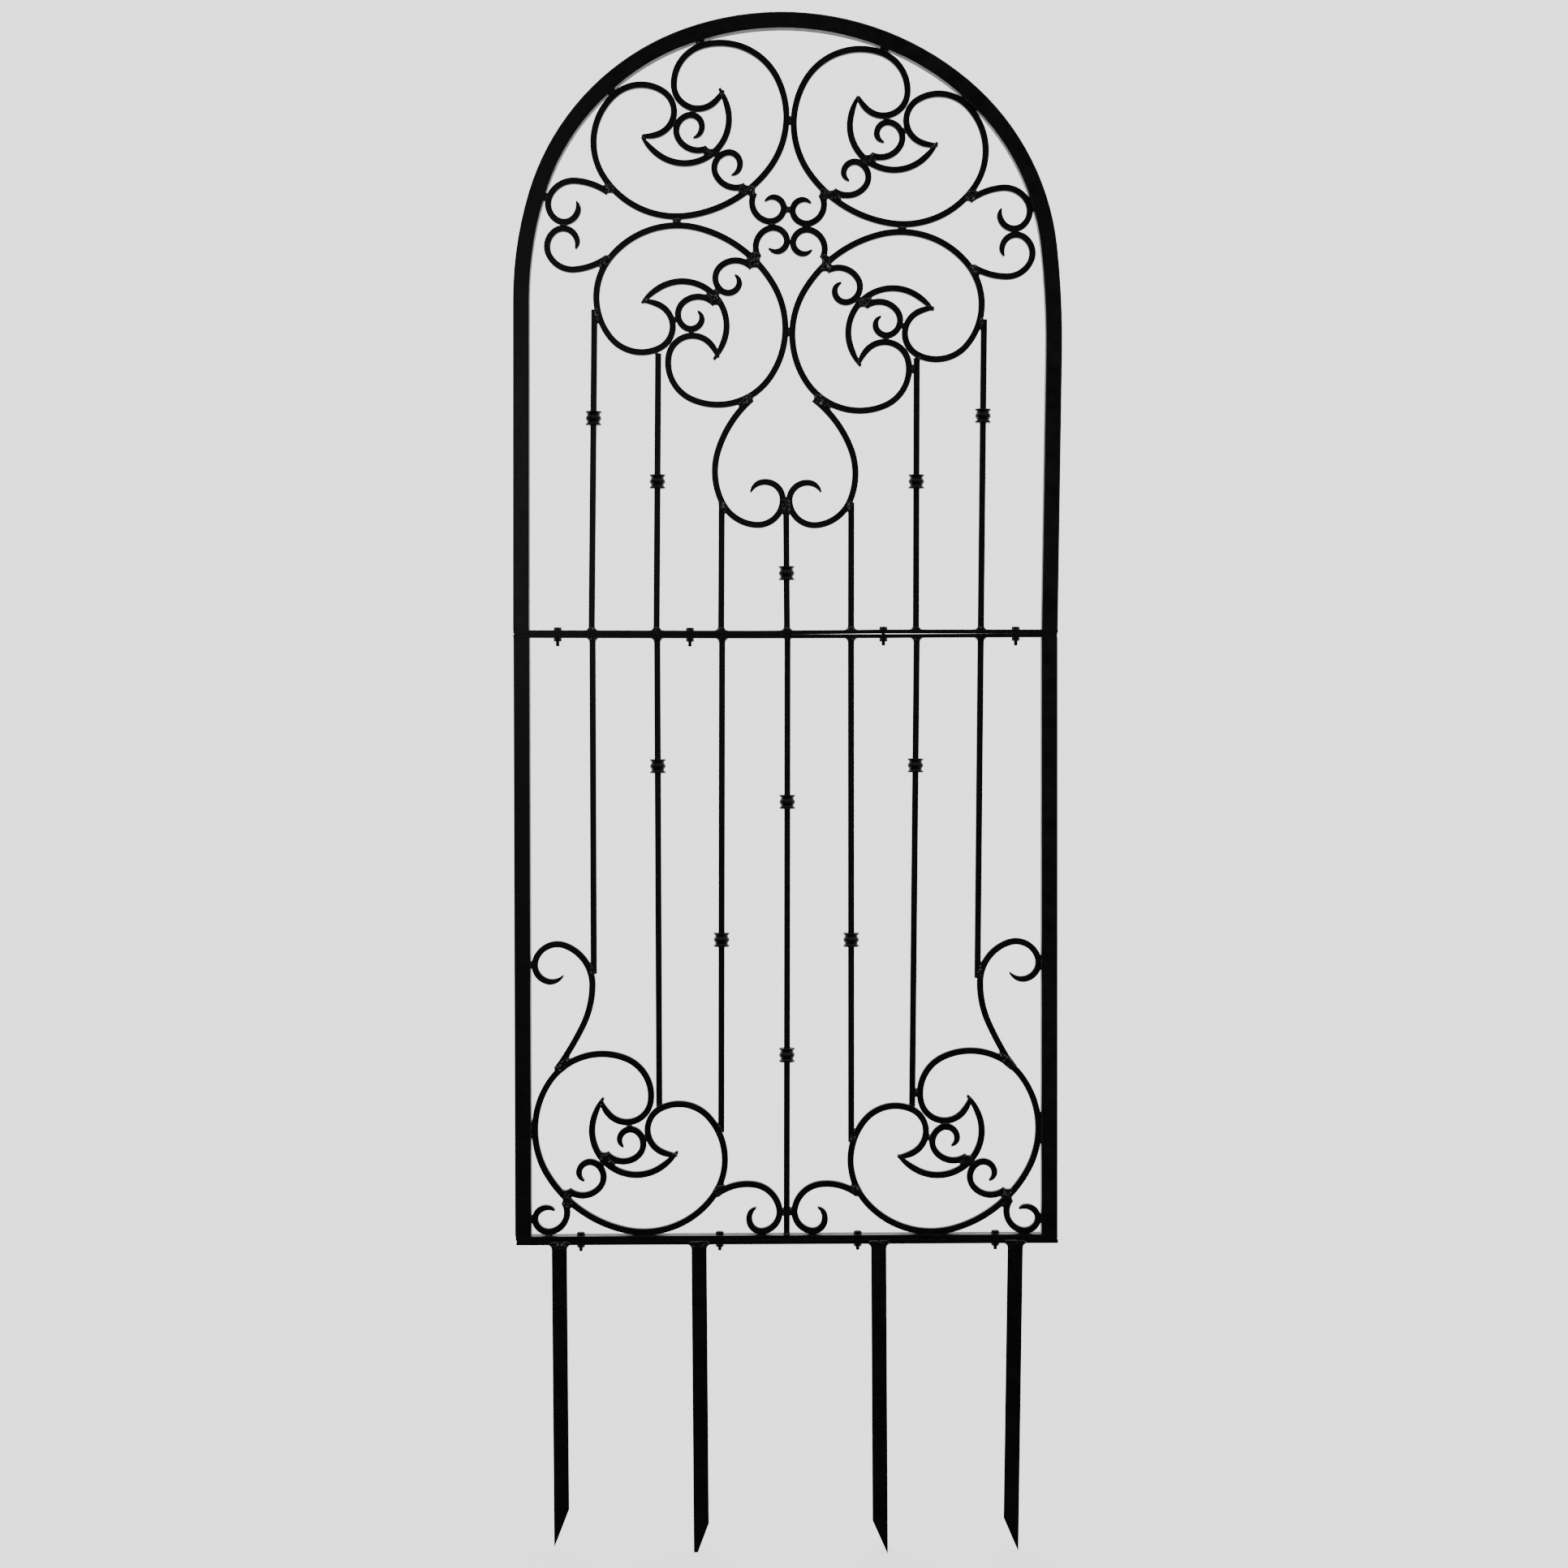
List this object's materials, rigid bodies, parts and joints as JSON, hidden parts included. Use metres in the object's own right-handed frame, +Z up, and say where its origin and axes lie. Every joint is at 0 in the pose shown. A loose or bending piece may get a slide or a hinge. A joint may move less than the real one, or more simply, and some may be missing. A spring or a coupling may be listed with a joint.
{
  "type": "garden trellis arch",
  "caption": "Flat metal garden trellis with a round arched top, square tube frame, heart and scroll filling on square pickets, in two bolted panels on a bar with ground stakes.",
  "frame": {"origin": "middle of the underside of the stake bar, on the ground line, in the middle plane of the trellis", "axes": "+X to the right seen from the front, +Y to the back, +Z up"},
  "size_m": [0.8687, 0.0254, 2.4374],
  "materials": {
    "powder_coat": "black powder coat, semi gloss, slightly uneven",
    "fastener_finish": "dark zinc plating, semi bright"
  },
  "bodies": {
    "root": {"base_bolts": "fastener_finish", "base_left_crescent": "powder_coat", "base_left_heart": "powder_coat", "base_left_tendrils": "powder_coat", "base_nuts": "fastener_finish", "base_right_crescent": "powder_coat", "base_right_heart": "powder_coat", "base_right_tendrils": "powder_coat", "centre_scrolls": "powder_coat", "corner_scrolls": "powder_coat", "crown_left_crescent": "powder_coat", "crown_left_heart": "powder_coat", "crown_left_tendrils": "powder_coat", "crown_right_crescent": "powder_coat", "crown_right_heart": "powder_coat", "crown_right_tendrils": "powder_coat", "foot_scrolls": "powder_coat", "left_pear_scroll": "powder_coat", "left_side_scrolls": "powder_coat", "left_tall_scroll": "powder_coat", "lower_bottom_bar": "powder_coat", "lower_collars": "powder_coat", "lower_left_post": "powder_coat", "lower_picket_1": "powder_coat", "lower_picket_2": "powder_coat", "lower_picket_3": "powder_coat", "lower_picket_4": "powder_coat", "lower_picket_5": "powder_coat", "lower_picket_6": "powder_coat", "lower_picket_7": "powder_coat", "lower_right_post": "powder_coat", "lower_top_bar": "powder_coat", "middle_bolts": "fastener_finish", "middle_nuts": "fastener_finish", "right_pear_scroll": "powder_coat", "right_side_scrolls": "powder_coat", "right_tall_scroll": "powder_coat", "stake_1": "powder_coat", "stake_2": "powder_coat", "stake_3": "powder_coat", "stake_4": "powder_coat", "stake_bar": "powder_coat", "upper_arch_tube": "powder_coat", "upper_bottom_bar": "powder_coat", "upper_collars": "powder_coat", "upper_picket_1": "powder_coat", "upper_picket_2": "powder_coat", "upper_picket_3": "powder_coat", "upper_picket_4": "powder_coat", "upper_picket_5": "powder_coat", "upper_picket_6": "powder_coat", "upper_picket_7": "powder_coat", "waist_left_crescent": "powder_coat", "waist_left_heart": "powder_coat", "waist_left_tendrils": "powder_coat", "waist_right_crescent": "powder_coat", "waist_right_heart": "powder_coat", "waist_right_tendrils": "powder_coat"}
  },
  "joints": []
}
